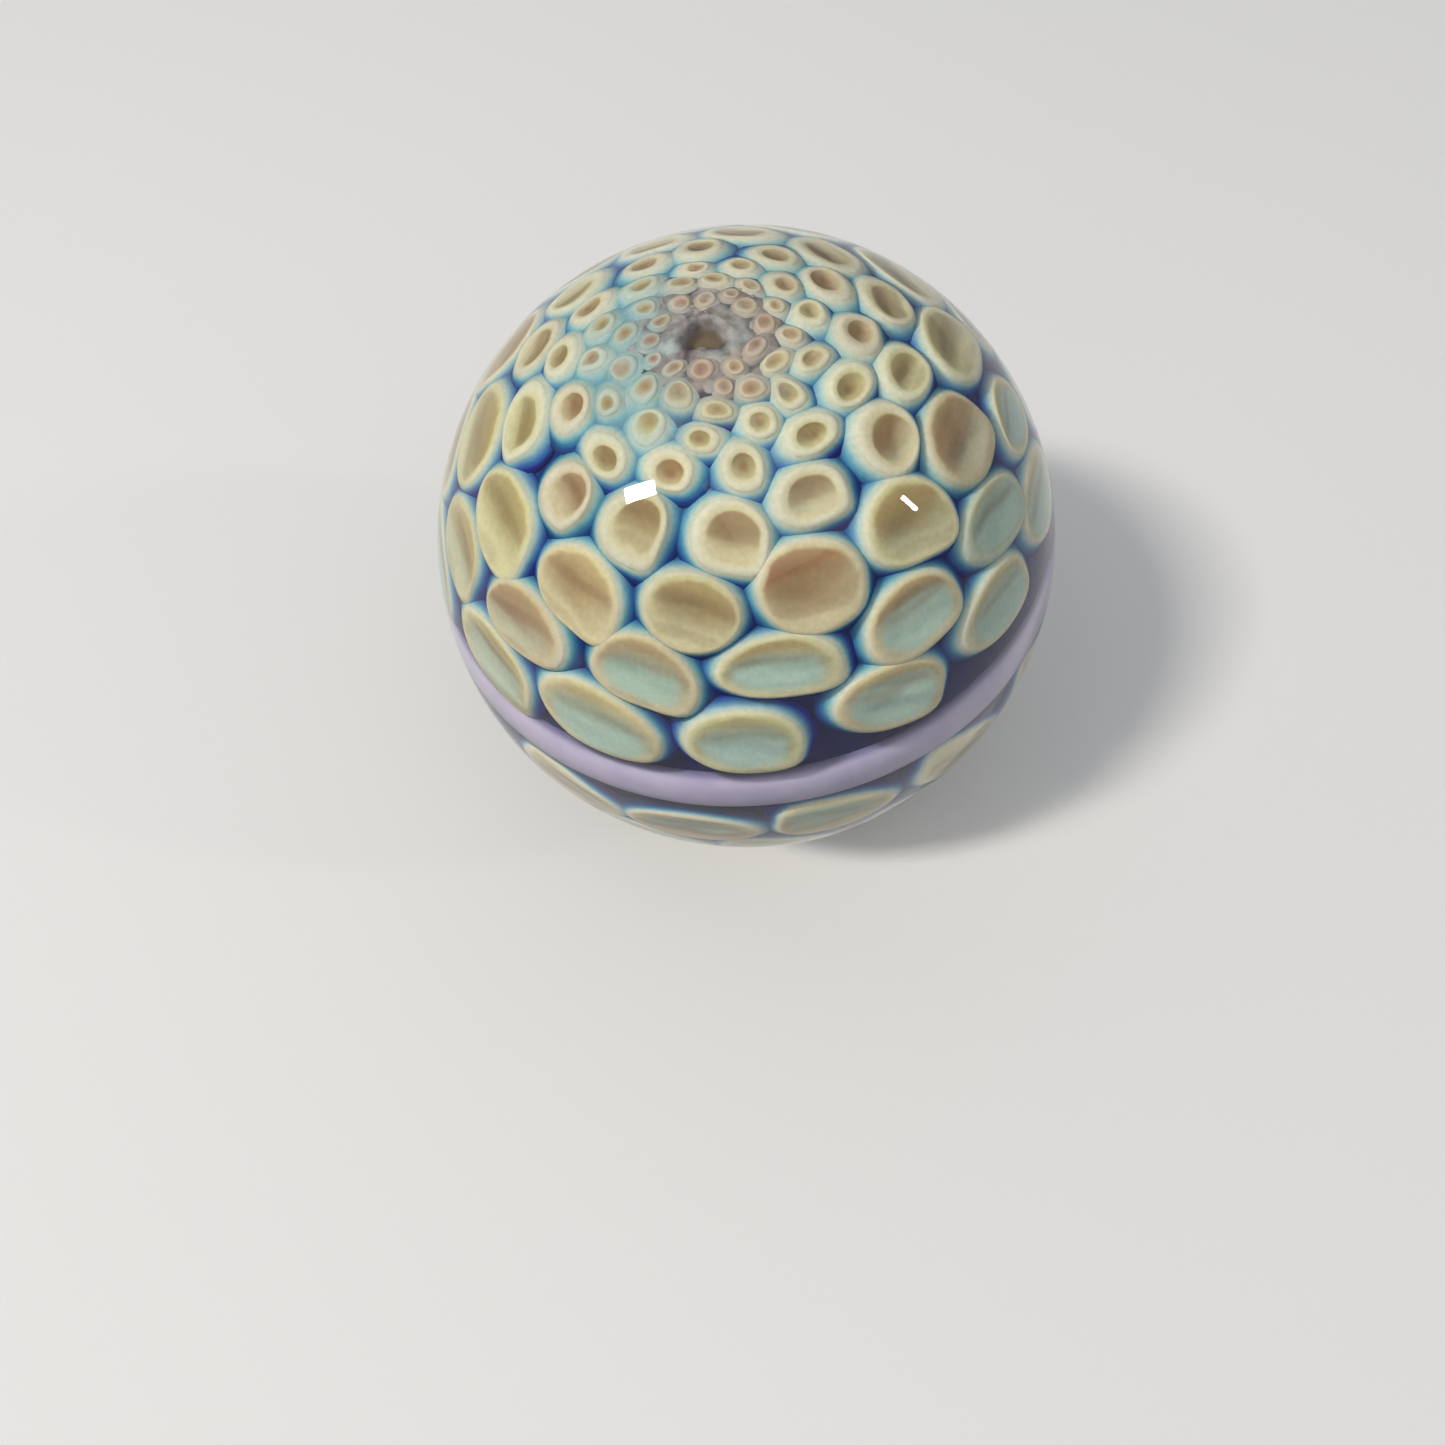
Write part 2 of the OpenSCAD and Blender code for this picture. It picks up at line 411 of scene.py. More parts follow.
def makeCups(cells):
    glass = CellGlass()
    for cell in cells:
        crest, lip = cell["crest"], cell["lip"]
        parts = [crest * bowlSteps, crest + (lip - crest) * lipSteps, lip + (1 - lip) * wallSteps]
        foot = len(bowlSteps) + len(lipSteps) + len(wallSteps) - 1
        bottom = groundR - 2 * section["sink"] * mm
        glass.addLoft(cell, np.concatenate(parts), lambda s, t: height(cell, s, t), foot, bottom)
    return glass.piece("creamCups")


def makeEyes(cells):
    glass = CellGlass()
    for cell in cells:
        rim = section["eye"] * cell["crest"]
        rise = section["eyeRise"] * mm * cell["size"]

        def crowned(share, turn):  # lies on the bowl and runs out flat at its rim
            crown = rise * (1 - (share / rim) ** 2) ** 2
            return height(cell, share, turn) + crown + section["eyeLap"] * mm

        shares = cell["crest"] * bowlSteps[bowlSteps <= section["eye"]]
        bottom = lipR - cell["depth"] - section["eyePleats"] * section["pleat"] * mm
        glass.addLoft(cell, shares, crowned, len(shares) - 1, bottom)
    return glass.piece("amberEyes")


def makeCollars(cells):
    glass = CellGlass()
    for cell in cells:
        lip = cell["lip"]
        shares = lip + (cell["collar"] - lip) * slopeSteps
        drop = 1 - (1 - slopeSteps) ** section["collarCurve"]
        shares = np.concatenate([shares, shares[-1:], shares[:1]])

        def skirt(share, turn):
            top = height(cell, np.full(1, lip), turn) + section["collarLap"] * mm
            slope = top - cell["fall"] * drop[:, None]
            return np.concatenate([slope, np.full((2, turn.size), groundR - section["sink"] * mm)])

        glass.addLoft(cell, shares, skirt, 0)
    return glass.piece("skyCollars")


cells = packCells(layCells())
for k, (long, wide) in enumerate(zip(rings["long"], rings["wide"])):
    kept = np.mean([c["mid"] for c in cells if c["ring"] == k]) / math.sqrt(long * wide)
    print("ring", k, "packed at", round(kept, 2), "of its size")


# balls: a fine triangle net, with radii given by a rule
def ballNet(detail):
    net = bmesh.new()
    bmesh.ops.create_icosphere(net, subdivisions=detail, radius=1)
    ways = np.array([v.co for v in net.verts])
    faces = [[v.index for v in face.verts] for face in net.faces]
    net.free()
    return unit(ways), faces


def ripple(ways, waves, count):  # slow swells over a ball, from -1 to 1
    total = np.zeros(len(ways))
    for _ in range(count):
        total += np.sin(ways @ (dice.normal(size=3) * waves) + dice.uniform(0, fullTurn))
    return total / count


# the flame-polished surface: its fall in mm, and the scale and number of its swells
casing = {"detail": 7, "swell": 0.05, "waves": 4, "swells": 8}


def makeCasing():
    ways, faces = ballNet(casing["detail"])
    swell = upward(ripple(ways, casing["waves"], casing["swells"]))
    return newPiece("clearCasing", ways * (ballR - casing["swell"] * mm * swell)[:, None], faces)


ground = {
    "detail": 7,
    "swell": 0.12,  # mm
    "waves": 9,
    "swells": 8,
    "pit": 4.6,  # depth below the upper pole, mm
    "pitIn": 2.5,  # degrees from the pole between which it rises
    "pitOut": 8,
    "near": 1,  # radians within which a cell colours it
    # where no cell is near, the ground takes its darkest blue: cobalt with painted shade in the gaps
    "far": -9.0,  # inward mark where no cell is near
}


def makeGround(cells):
    ways, faces = ballNet(ground["detail"])
    nearest = np.full(len(ways), ground["far"])
    for cell in cells:
        away = np.arccos(np.clip(ways @ cell["centre"], -1, 1))
        x, y = ways @ cell["along"], ways @ cell["across"]
        stretch = away / (np.hypot(x, y) + 1e-9)
        x, y = x * stretch / cell["long"], y * stretch / cell["wide"]
        turn = np.arctan2(y, x)
        share = np.hypot(x, y) / outline(cell, turn)
        # the ground takes the mark of the nearest cell, so it grows darker with distance from the cells:
        # painted shade in the gaps between them
        mark = np.where(away < ground["near"], inward(cell, share, turn), ground["far"])
        nearest = np.maximum(nearest, mark)
    pole = np.array(polar(halfFrame(1), 0, 0))
    fromPole = np.degrees(np.arccos(np.clip(ways @ pole, -1, 1)))
    swell = upward(ripple(ways, ground["waves"], ground["swells"]))
    radius = groundR - ground["swell"] * mm * swell
    radius -= ground["pit"] * mm * (1 - smooth(ground["pitIn"], ground["pitOut"], fromPole))
    blank = np.zeros(len(ways))
    outer = np.minimum(nearest, -section["cream"])
    marks = {"inward": outer, "across": blank, "seed": blank + 0.5, "size": blank + 1}
    return newPiece("cobaltGround", ways * radius[:, None], faces, marks)


band = {
    "spread": 1.18,  # its foot runs out over the ground
    "wave": 0.06,  # share by which its width wanders
    "waves": (2, 3, 5, 7),  # in one turn round the ball
    "sink": 0.4,  # mm in the ground
    "round": 0.5,  # how full its section is, 1 for a plain arc
    "swell": 0.06,  # mm by which its crown wanders
    "swellShift": 40,  # points between the two
    "turns": 300,  # points round it
    "rings": 19,  # and across it
}


def makeBand():
    turns, steps = band["turns"], band["rings"]
    turn = around(turns)
    wander = sum(np.sin(n * turn + dice.uniform(0, fullTurn)) for n in band["waves"]) / len(band["waves"])
    half = bandHalf * band["spread"] * (1 - band["wave"] * upward(wander))
    swell = band["swell"] * mm * upward(np.roll(wander, band["swellShift"]))
    base = groundR - band["sink"] * mm
    points, crown, faces = [], [], []
    for a in np.radians(np.linspace(-90, 90, steps)):
        out = base + (bandReach - base) * math.cos(a) ** band["round"] - swell
        points.append(np.stack([out * np.cos(turn), out * np.sin(turn), half * math.sin(a)], 1))
        crown.append(np.full(turns, math.cos(a)))
    for i in range(steps):
        here, there = i * turns, (i + 1) % steps * turns
        for j in range(turns):
            k = (j + 1) % turns
            faces.append((here + j, here + k, there + k, there + j))
    return newPiece("lavenderBand", np.concatenate(points), faces, {"crown": np.concatenate(crown)})


# the smoky cap round the upper pole, with lumps and a clear hole down its middle
veil = {
    "edge": 19.5,  # degrees
    "skirt": 12,  # degrees at which it starts to fall
    "foot": 0.4,  # mm in the ground
    "plateau": 0.55,  # mm below the lips
    "hole": 2.6,  # degrees
    "holeDepth": 1.2,  # mm
    "holeWaves": (0.14, 0.1),  # how far its outline strays from round, and where, radians
    "holeTurns": (0.6, 2),
    "holeWall": (0.55, 1.5),  # shares of it between which its wall rises
    "below": 2.5,  # mm of glass under it
    "rim": 0.2,  # rise of the ridge round the hole, mm
    "rimAt": 1.75,  # share of the hole at which it stands
    "rimWidth": 0.9,
    "lumps": 110,
    "lumpReach": 16,  # degrees
    "lumpInner": 0.06,  # share of that area, round the hole, without any
    "lumpWidth": (0.8, 1.9),  # degrees
    "lumpRise": 0.16,  # mm
    "palest": 5.6,  # degrees at which it is palest, and over which that fades
    "paleFade": 2.4,
    "turns": 132,  # points round it
    "fine": (0.3, 5, 20),  # rings of points near the hole, in degrees, and how many
    "coarse": (5.25, 40),  # from there to the edge
}


def veilLumps():
    angle = np.sqrt(dice.uniform(veil["lumpInner"], 1, veil["lumps"])) * veil["lumpReach"]
    azimuth = dice.uniform(0, fullTurn, veil["lumps"])
    spots = np.stack([angle * np.cos(azimuth), angle * np.sin(azimuth)], 1)
    return spots, dice.uniform(*veil["lumpWidth"], veil["lumps"])


def makeVeil():
    turns, (start, many) = veil["turns"], veil["coarse"]
    angle = np.concatenate([np.linspace(*veil["fine"]), np.linspace(start, veil["edge"], many)])[:, None]
    azimuth = around(turns)[None]
    spots, widths = veilLumps()
    flat = np.stack(np.broadcast_arrays(angle * np.cos(azimuth), angle * np.sin(azimuth)), -1)
    lump = np.zeros(flat.shape[:2])
    for spot, width in zip(spots, widths):
        lump = np.maximum(lump, np.exp(-((flat - spot) ** 2).sum(-1) / width**2))
    two, three = [
        wave * np.cos(n * azimuth + shift)
        for n, wave, shift in zip((2, 3), veil["holeWaves"], veil["holeTurns"])
    ]
    fromHole = angle / (1 + two + three)
    low, high = veil["holeWall"]
    hole = 1 - smooth(low * veil["hole"], high * veil["hole"], fromHole)
    ridge = np.exp(-((fromHole - veil["rimAt"] * veil["hole"]) ** 2) / veil["rimWidth"])
    radius = lipR - veil["plateau"] * mm + (veil["lumpRise"] * lump * (1 - hole) + veil["rim"] * ridge) * mm
    radius -= veil["holeDepth"] * mm * hole
    skirt = smooth(veil["skirt"], veil["edge"], angle)
    radius = radius * (1 - skirt) + (groundR - veil["foot"] * mm) * skirt
    turn = halfFrame(1)
    ways = np.array([[polar(turn, math.radians(a), z) for z in azimuth[0]] for a in angle[:, 0]])
    pole = np.array(polar(turn, 0, 0))
    ends = [pole * radius[0].mean(), pole * (lipR - (veil["holeDepth"] + veil["below"]) * mm)]
    points = np.concatenate([(ways * radius[..., None]).reshape(-1, 3), ends])
    steps, top = len(angle), len(angle) * turns
    faces, last = [], (steps - 1) * turns
    for j in range(turns):
        k = (j + 1) % turns
        for i in range(steps - 1):
            here, there = i * turns, (i + 1) * turns
            faces.append((here + j, there + j, there + k, here + k))
        faces += [(top, j, k), (top + 1, last + k, last + j)]
    pale = np.exp(-(((fromHole - veil["palest"]) / veil["paleFade"]) ** 2))
    marks = {
        "pale": np.append(pale.ravel(), [0, 0]),
        "lump": np.append(lump.ravel(), [0, 0]),
        "hole": np.append(hole.ravel(), [1, 1]),
        "haze": np.append((1 - np.broadcast_to(skirt, lump.shape)).ravel(), [1, 1]),
    }
    return newPiece("poleVeil", points, faces, marks)


# thin wisps that wander through the veil
threads = {
    "count": 24,
    "radius": 0.3,  # mm in the middle
    "thin": 0.25,  # share of it at the ends
    "start": (4.2, 11.5),  # degrees from the pole
    "below": (0.66, 0.76),  # mm below the lips
    "points": 6,
    "stride": 0.6,  # degrees between them
    "bend": 0.25,  # spreads of the turn at each, radians
    "wander": 0.3,
}


def makeThreads():
    curve = bpy.data.curves.new("veilThreads", "CURVE")
    curve.dimensions = "3D"
    curve.bevel_depth = threads["radius"] * mm
    curve.bevel_resolution = 2
    curve.resolution_u = 6
    curve.use_fill_caps = True
    turn, steps, thin = halfFrame(1), threads["points"], threads["thin"]
    for _ in range(threads["count"]):
        angle = dice.uniform(*threads["start"])
        azimuth = dice.uniform(0, fullTurn)
        bend = dice.normal(0, threads["bend"])
        heading = dice.uniform(0, fullTurn)
        x, y = angle * math.cos(azimuth), angle * math.sin(azimuth)
        line = curve.splines.new("BEZIER")
        line.bezier_points.add(steps - 1)
        for n, point in enumerate(line.bezier_points):
            way = polar(turn, math.radians(math.hypot(x, y)), math.atan2(y, x))
            point.co = way * (lipR - dice.uniform(*threads["below"]) * mm)
            point.radius = thin + math.sin(math.pi * (n + 0.5) / steps) * (1 - thin)
            point.handle_left_type = point.handle_right_type = "AUTO"
            heading += bend + dice.normal(0, threads["wander"])
            x += threads["stride"] * math.cos(heading)
            y += threads["stride"] * math.sin(heading)
    piece = bpy.data.objects.new("veilThreads", curve)
    bpy.context.scene.collection.objects.link(piece)
    return piece


bubbles = {
    "places": [(4.4, 108, 0.12), (4.0, 80, 0.14), (11.0, 52, 0.1)],  # degrees, degrees, radius in mm
    "above": 0.3,  # mm over the lips
    "squeeze": 0.12,  # share by which they stray from round
    "waves": 2,
    "swells": 3,
    "detail": 4,
}


def makeBubbles():
    ways, net = ballNet(bubbles["detail"])
    points, faces = [], []
    turn = halfFrame(1)
    far = lipR + bubbles["above"] * mm
    for angle, azimuth, radius in bubbles["places"]:
        centre = np.array(polar(turn, math.radians(angle), math.radians(azimuth))) * far
        squeeze = 1 + bubbles["squeeze"] * ripple(ways, bubbles["waves"], bubbles["swells"])
        faces += [[i + len(ways) * len(points) for i in face] for face in net]
        points.append(centre + ways * (radius * mm * squeeze)[:, None])
    return newPiece("seedBubbles", np.concatenate(points), faces)


# shader helpers: a node with its sockets filled or joined, and the few kinds used most
def put(tree, kind, sockets=None, **settings):
    node = tree.nodes.new(kind)
    for name, value in settings.items():
        setattr(node, name, value)
    for name, value in (sockets or {}).items():
        if isinstance(value, bpy.types.NodeSocket):
            tree.links.new(value, node.inputs[name])
        else:
            node.inputs[name].default_value = value
    return node


def attribute(tree, name):
    return put(tree, "ShaderNodeAttribute", attribute_name=name).outputs["Fac"]


def sums(tree, operation, first, second=0.0):
    return put(tree, "ShaderNodeMath", {0: first, 1: second}, operation=operation).outputs[0]


def times(tree, first, second):
    return sums(tree, "MULTIPLY", first, second)


def window(tree, value, low, high, most=1.0):  # soft step from low to high
    sockets = {"Value": value, "From Min": low, "From Max": high, "To Max": most}
    return put(tree, "ShaderNodeMapRange", sockets, interpolation_type="SMOOTHSTEP").outputs[0]


def blend(tree, share, first, second, way="MIX"):
    sockets = {0: share, 6: first, 7: second}
    return put(tree, "ShaderNodeMix", sockets, data_type="RGBA", blend_type=way).outputs[2]


def cloud(tree, scale, detail=3.0, rough=0.55):
    place = put(tree, "ShaderNodeTexCoord").outputs["Object"]
    sockets = {"Vector": place, "Scale": scale, "Detail": detail, "Roughness": rough}
    return put(tree, "ShaderNodeTexNoise", sockets).outputs[0]


def ramp(tree, value, stops):
    node = put(tree, "ShaderNodeValToRGB", {"Fac": value})
    steps = node.color_ramp.elements
    while len(steps) < len(stops):
        steps.new(0.5)
    for step, (place, colour) in zip(steps, stops):
        step.position = place
        step.color = colour
    return node.outputs[0]


west = (-1.5, -5.5)  # mm along X between which the green haze beside the pole thickens


def westward(tree, most):
    place = put(tree, "ShaderNodeTexCoord").outputs["Object"]
    split = put(tree, "ShaderNodeSeparateXYZ", {"Vector": place})
    return window(tree, split.outputs["X"], west[0] * mm, west[1] * mm, most)


def newGroup(name, inputs, outputs):
    group = bpy.data.node_groups.new(name, "ShaderNodeTree")
    for socket, value in inputs.items():
        kind = "NodeSocketColor" if isinstance(value, list) else "NodeSocketFloat"
        group.interface.new_socket(socket, in_out="INPUT", socket_type=kind).default_value = value
    for socket, kind in outputs.items():
        group.interface.new_socket(socket, in_out="OUTPUT", socket_type="NodeSocket" + kind)
    return group, put(group, "NodeGroupInput").outputs


# the colours across a cell, from the dark gap outside it to the bottom of its bowl
cellColours = {
    "cup": [
        # the deepest blues, furthest from any cell, are cobalt glass darkened with painted shade in the
        # gaps between cells
        (-3.2, (2, 13, 84)),
        (-2.5, (3, 20, 102)),
        (-1.8, (14, 54, 134)),
        (-1.3, (52, 112, 160)),
        (-0.95, (104, 158, 180)),
        (-0.65, (160, 192, 190)),
        (-0.36, (202, 205, 186)),
        (-0.15, (209, 206, 181)),
        (0.0, (203, 197, 162)),
        (0.1, (195, 186, 146)),
        (0.25, (184, 172, 132)),
        (0.6, (174, 159, 118)),
        (1.0, (164, 145, 104)),
    ],
    "dot": [
        # its darkest stops, out in the gaps round the dots, are partly painted shade
        (-1.7, (70, 60, 74)),
        (-0.9, (104, 92, 98)),
        (-0.36, (166, 154, 140)),
        (-0.1, (186, 171, 150)),
        (0.1, (180, 161, 139)),
        (0.4, (161, 138, 119)),
        (1.0, (140, 114, 100)),
    ],
    "foam": (162, 185, 172),
    "amber": (146, 96, 50),
    # painted shade for the upper side of a bowl
    "paintedShade": (130, 108, 70),
    # painted light for the lower side of the larger bowls
    "pale": (206, 199, 160),
    "fold": (134, 110, 76),
    "straw": (200, 190, 134),
    "haze": (178, 178, 174),
    "mint": (132, 176, 180),
}


# soft steps for those colours: where each starts, where it is full, and its share there
cellSteps = {
    "dot": (0.56, 0.3),  # by size
    "large": (0.6, 0.92),
    "larger": (0.75, 0.95),
    "near": (0.75, 0.4),
    "bowl": (0.03, 0.16),  # by the inward mark
    "middle": (0.02, 0.42),
    "rim": (-0.5, -0.1),
    "lip": (-0.3, 0.0),
    "collar": (0.7, -0.4),
    "paintedShade": (-0.5, 0.35),  # by the place across the bowl
    "pale": (0.0, -0.65, 0.6),
    "foam": (0.25, -0.6),
    "amber": (0.05, 0.6),
    "crease": (0.26, 0.0, 0.4),
    "straw": (0.2, 0.9, 0.4),
    "washed": (1.2, 1.8, 0.6),  # by how much sea foam there is
    "unfolded": (1.2, 0.0),
    "fold": (0.0, 1.0),  # by a wave or a noise
    "wisps": (0.5, 0.72, 0.5),
    "grain": (0.3, 0.75),
}

# scale, detail and roughness of the noises, and how much each of them and the marks moves the colours
cellNoise = {"drift": (620,), "slow": (210, 1.0), "wisps": (560, 3.0, 0.5), "grain": (2600, 5.0, 0.65)}
cellMoves = {
    "drift": 0.22,
    "slow": 0.7,
    "foamEdge": 0.7,
    "foam": 1.2,
    "amberEdge": 0.3,
    "folds": 7,
    "foldsSlow": 6,
    "foldsSeed": 21,
    "creaseAt": 0.25,
    "mint": 0.75,
    "hue": (0.034, 0.482),  # spread and least
    "value": (0.5, 0.14, 0.9),  # of the seed, height of the zigzag, and least
}


def makeCellGroup():
    group, given = newGroup("cellColour", {"Mottle": 0.5, "Folds": 0.45}, {"Color": "Color"})
    depth, across, seed, size, sea, warmth, dark = [
        attribute(group, mark) for mark in ("inward", "across", *cellMarks)
    ]
    moves = cellMoves

    def step(value, name):
        return window(group, value, *cellSteps[name])

    def noise(name):
        return cloud(group, *cellNoise[name])

    def over(share, name):
        return blend(group, share, colour, tone(*cellColours[name]))

    drift = sums(group, "SUBTRACT", noise("drift"), 0.5)
    strayed = sums(group, "ADD", depth, times(group, drift, moves["drift"]))
    outer, inner = cellColours["cup"][0][0], cellColours["cup"][-1][0]
    sockets = {"Value": strayed, "From Min": outer, "From Max": inner}
    spread = put(group, "ShaderNodeMapRange", sockets).outputs[0]
    cup, dot = [
        ramp(group, spread, [((at - outer) / (inner - outer), tone(*rgb)) for at, rgb in cellColours[kind]])
        for kind in ("cup", "dot")
    ]
    colour = blend(group, step(size, "dot"), cup, dot)
    # painted shade darkens the upper side of a bowl, and painted light makes its lower side paler
    bowl, middle = step(strayed, "bowl"), step(strayed, "middle")
    slow = sums(group, "SUBTRACT", noise("slow"), 0.5)
    lower = sums(group, "ADD", times(group, slow, moves["slow"]), across)
    shade = times(group, step(lower, "paintedShade"), times(group, bowl, dark))
    colour = over(shade, "paintedShade")
    # painted light: the lower side of the larger bowls is paler
    pale = times(group, step(lower, "pale"), times(group, bowl, step(size, "larger")))
    colour = over(pale, "pale")
    # sea foam lies on the side away from the pole, and washes over the rims where there is most
    edge = sums(group, "SUBTRACT", lower, times(group, sea, moves["foamEdge"]))
    foam = times(group, times(group, middle, sea), moves["foam"])
    foam = times(group, step(edge, "foam"), foam)
    colour = over(foam, "foam")
    colour = over(times(group, step(sea, "washed"), step(strayed, "rim")), "foam")
    # amber lies along the upper edge
    upper = sums(group, "SUBTRACT", lower, times(group, strayed, moves["amberEdge"]))
    warm = times(group, step(upper, "amber"), times(group, bowl, warmth))
    colour = over(warm, "amber")
    # folds along the bowl and one dark crease above its middle
    large = step(size, "large")
    wave = sums(group, "ADD", times(group, across, moves["folds"]), times(group, slow, moves["foldsSlow"]))
    wave = sums(group, "SINE", sums(group, "ADD", wave, times(group, seed, moves["foldsSeed"])))
    fold = times(group, step(wave, "fold"), times(group, bowl, large))
    fold = times(group, fold, step(foam, "unfolded"))
    colour = over(times(group, fold, given["Folds"]), "fold")
    line = sums(group, "ABSOLUTE", sums(group, "SUBTRACT", lower, moves["creaseAt"]))
    crease = times(group, step(line, "crease"), times(group, middle, large))
    colour = over(crease, "fold")
    # straw-coloured upper lips
    lip = times(group, step(strayed, "lip"), step(across, "straw"))
    colour = over(times(group, lip, large), "straw")
    # haze over the small cells near a pole, greener on one side
    near = step(size, "near")
    mint = times(group, westward(group, moves["mint"]), times(group, near, step(depth, "collar")))
    colour = over(mint, "mint")
    colour = over(times(group, step(noise("wisps"), "wisps"), near), "haze")
    # no two cells alike
    hueSpread, hueLeast = moves["hue"]
    seedShare, zigzag, valueLeast = moves["value"]
    hue = sums(group, "ADD", times(group, seed, hueSpread), hueLeast)
    value = sums(group, "PINGPONG", times(group, seed, seedShare), zigzag)
    value = sums(group, "ADD", value, valueLeast)
    sockets = {"Hue": hue, "Saturation": 1.0, "Value": value, "Color": colour}
    colour = put(group, "ShaderNodeHueSaturation", sockets).outputs[0]
    grain = blend(group, step(noise("grain"), "grain"), tone(226, 222, 214), tone(255, 255, 255))
    colour = blend(group, given["Mottle"], colour, blend(group, 1.0, colour, grain, "MULTIPLY"))
    put(group, "NodeGroupOutput", {"Color": colour})
    return group


def makeStreakGroup():
    inputs = {"Color": [0.5, 0.5, 0.5, 1], "Second": [0.4, 0.4, 0.4, 1], "Scale": 400.0, "Amount": 0.5}
    group, given = newGroup("glassStreak", inputs, {"Color": "Color", "Height": "Float"})
    soft = cloud(group, given["Scale"], 5.0, 0.6)
    share = times(group, window(group, soft, 0.35, 0.68), given["Amount"])
    colour = blend(group, share, given["Color"], given["Second"])
    put(group, "NodeGroupOutput", {"Color": colour, "Height": soft})
    return group


def useGroup(tree, group, **values):
    return put(tree, "ShaderNodeGroup", values, node_tree=group).outputs


def newMaterial(name, roughness, specular):
    material = bpy.data.materials.new(name)
    material.use_nodes = True
    shader = material.node_tree.nodes["Principled BSDF"]
    shader.inputs["Roughness"].default_value = roughness
    shader.inputs["Specular IOR Level"].default_value = specular
    return material, material.node_tree, shader.inputs


cellGroup, streakGroup = makeCellGroup(), makeStreakGroup()


# glass inside the casing has no gloss of its own, because clear glass touches it all over
def cellGlass(name, folds, mottle):
    material, tree, inputs = newMaterial(name, roughness=0.6, specular=0)
    colour = useGroup(tree, cellGroup, Folds=folds, Mottle=mottle)["Color"]
    tree.links.new(colour, inputs["Base Color"])
    return material, tree, inputs, colour


eyeLook = {
    "deep": (124, 94, 60),
    "middle": (0.4, 0.9),  # steps, as for the cells: by the inward mark, and by size
    "small": (1.0, 0.8, 0.8),
}


def eyeGlass():
    material, tree, inputs, colour = cellGlass("amberEyeGlass", folds=0.34, mottle=0.5)
    small = window(tree, attribute(tree, "size"), *eyeLook["small"])
    deep = times(tree, window(tree, attribute(tree, "inward"), *eyeLook["middle"]), small)
    deep = times(tree, deep, attribute(tree, "warm"))
    tree.links.new(blend(tree, deep, colour, tone(*eyeLook["deep"])), inputs["Base Color"])
    return material


bandLook = {
    "streaks": {"Color": tone(172, 164, 188), "Second": tone(156, 148, 178), "Scale": 260.0, "Amount": 0.7},
    "foot": (98, 94, 142),
    "footStep": (0.55, 0.1, 0.7),
}


def bandGlass():
    material, tree, inputs = newMaterial("lavenderGlass", roughness=0.5, specular=0)
    colour = useGroup(tree, streakGroup, **bandLook["streaks"])["Color"]
    foot = window(tree, attribute(tree, "crown"), *bandLook["footStep"])
    tree.links.new(blend(tree, foot, colour, tone(*bandLook["foot"])), inputs["Base Color"])
    return material


veilLook = {
    "streaks": {"Color": tone(108, 98, 98), "Second": tone(160, 152, 145), "Scale": 620.0, "Amount": 0.9},
    # low: painted shade in the hollows between the lumps
    "low": (60, 50, 58),  # between the lumps
    "lumpShadeStep": (0.45, 0.05, 0.85),
    "fibres": (760, 4.0, 0.55),  # scale, detail and roughness
    "fibreStep": (0.38, 0.66),
    "pale": (160, 164, 158),  # fibres round the hole
    "mint": (140, 170, 172),  # and on one side
    "mintShare": 0.6,
    "skirt": (76, 78, 104),
    "skirtStep": (0.75, 0.2),
    "hole": (106, 92, 70),
    "holeStep": (0.25, 0.8),
}


def veilGlass():
    material, tree, inputs = newMaterial("veilGlass", roughness=0.5, specular=0)
    colour = useGroup(tree, streakGroup, **veilLook["streaks"])["Color"]
    fibres = window(tree, cloud(tree, *veilLook["fibres"]), *veilLook["fibreStep"])
    layers = {
        # painted shade between the lumps
        "low": window(tree, attribute(tree, "lump"), *veilLook["lumpShadeStep"]),
        "pale": times(tree, attribute(tree, "pale"), fibres),
        "mint": times(tree, westward(tree, veilLook["mintShare"]), fibres),
        "skirt": window(tree, attribute(tree, "haze"), *veilLook["skirtStep"]),
        "hole": window(tree, attribute(tree, "hole"), *veilLook["holeStep"]),
    }
    for layer, share in layers.items():
        colour = blend(tree, share, colour, tone(*veilLook[layer]))
    tree.links.new(colour, inputs["Base Color"])
    return material


threadLook = {"Color": tone(152, 152, 148), "Second": tone(130, 122, 124), "Scale": 700.0, "Amount": 0.8}


def threadGlass():
    material, tree, inputs = newMaterial("threadGlass", roughness=0.5, specular=0)
    tree.links.new(useGroup(tree, streakGroup, **threadLook)["Color"], inputs["Base Color"])
    return material


clearLook = {
    "index": 1.47,  # of refraction
    "streaks": {"Color": tone(255, 255, 255), "Second": tone(250, 252, 253), "Scale": 90.0, "Amount": 0.6},
    "polish": (0.5, 0.8, 0.03),  # step from bright to the dullest places, and their roughness
}


def clearGlass(name, index):
    material, tree, inputs = newMaterial(name, roughness=0, specular=0.5)
    inputs["Transmission Weight"].default_value = 1
    inputs["IOR"].default_value = index
    film = useGroup(tree, streakGroup, **clearLook["streaks"])
    tree.links.new(film["Color"], inputs["Base Color"])
    tree.links.new(window(tree, film["Height"], *clearLook["polish"]), inputs["Roughness"])
    return material


